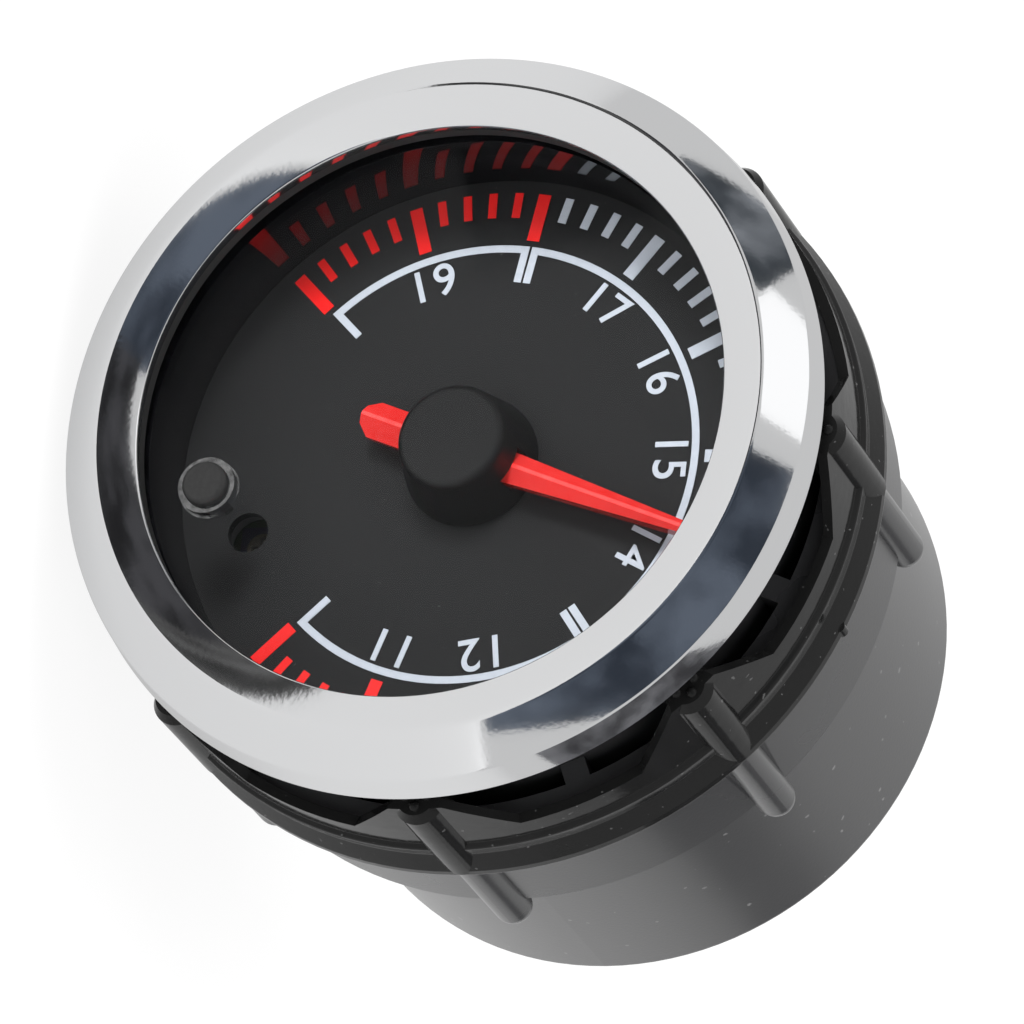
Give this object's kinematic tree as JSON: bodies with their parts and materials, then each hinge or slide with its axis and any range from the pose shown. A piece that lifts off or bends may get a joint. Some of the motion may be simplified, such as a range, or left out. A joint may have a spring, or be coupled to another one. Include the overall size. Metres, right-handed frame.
{
  "type": "air fuel ratio gauge",
  "caption": "Round panel gauge with a chrome bezel, printed scale, red pointer, black case and a push-on mounting collar.",
  "frame": {"origin": "centre of the bezel's rear face, where the front of the panel comes, on the gauge's axis", "axes": "-Y out of the dial towards the driver, +Y to the rear through the panel, +X to the dial's right, +Z to the dial's top"},
  "size_m": [0.0622, 0.0543, 0.0622],
  "materials": {
    "chrome": "polished, mirror bright",
    "black_rubber": "matte",
    "clear_lens": "polished, clear",
    "gloss_black": "high gloss",
    "dial_black": "matte print",
    "print_white": "matte print",
    "print_red": "matte print",
    "light_guide_clear": "frosted",
    "pointer_red": "translucent, glossy",
    "hub_black": "fine grain",
    "steel": "ground",
    "magnet_grey": "sintered",
    "bush_brass": "turned",
    "bobbin_cream": "moulded",
    "copper_wire": "enamelled copper",
    "can_metal": "plated sheet",
    "board_green": "solder mask",
    "led_cream": "moulded",
    "trimmer_blue": "moulded",
    "part_black": "moulded",
    "capacitor_blue": "sleeved",
    "case_black": "satin",
    "collar_black": "glossy, moulded",
    "sleeve_black": "satin"
  },
  "bodies": {
    "gauge": {"bezel_ring": "chrome", "lens_gasket": "black_rubber", "lens": "clear_lens", "visor_ring": "gloss_black", "dial_plate": "dial_black", "scale_marks_white": "print_white", "scale_marks_red": "print_red", "light_guide": "light_guide_clear", "upper_bearing": "bush_brass", "lower_bearing": "bush_brass", "upper_bobbin": "bobbin_cream", "lower_bobbin": "bobbin_cream", "inner_coil": "copper_wire", "outer_coil": "copper_wire", "shield_can": "can_metal", "movement_screws": "steel", "coil_terminals": "bush_brass", "lamp_board": "board_green", "dial_leds": "led_cream", "trimmer_body": "trimmer_blue", "lamp_board_screws": "steel", "board_link": "part_black", "main_board": "board_green", "driver_chip": "part_black", "capacitors": "capacitor_blue", "regulator": "part_black", "main_board_screws": "steel", "connector_shell": "part_black", "connector_pins": "bush_brass", "gauge_case": "case_black", "rear_cover": "case_black", "cover_screws": "steel"},
    "pointer_assembly": {"pointer": "pointer_red", "pointer_hub": "hub_black", "pointer_shaft": "steel", "rotor_magnet": "magnet_grey"},
    "mounting_collar": {"mounting_sleeve": "sleeve_black", "crown_ring": "collar_black"},
    "trim_adjuster": {"trimmer_rotor": "bobbin_cream"},
    "service_plug": {"lens_plug": "black_rubber"}
  },
  "joints": [
    {"name": "pointer_sweep", "type": "hinge", "parent": "gauge", "child": "pointer_assembly", "pos_m": [0, 0, 0], "axis": [0, 1, 0], "range_deg": [-155.8, 114.2]},
    {"name": "collar_slide", "type": "slide", "parent": "gauge", "child": "mounting_collar", "axis": [0, 1, 0], "range_m": [0, 0.015]},
    {"name": "trimmer_turn", "type": "hinge", "parent": "gauge", "child": "trim_adjuster", "pos_m": [0.0053, 0, -0.01788], "axis": [0, 1, 0], "range_deg": [-135, 135]},
    {"name": "plug_pull", "type": "slide", "parent": "gauge", "child": "service_plug", "axis": [0, -1, 0], "range_m": [0, 0.006]}
  ]
}
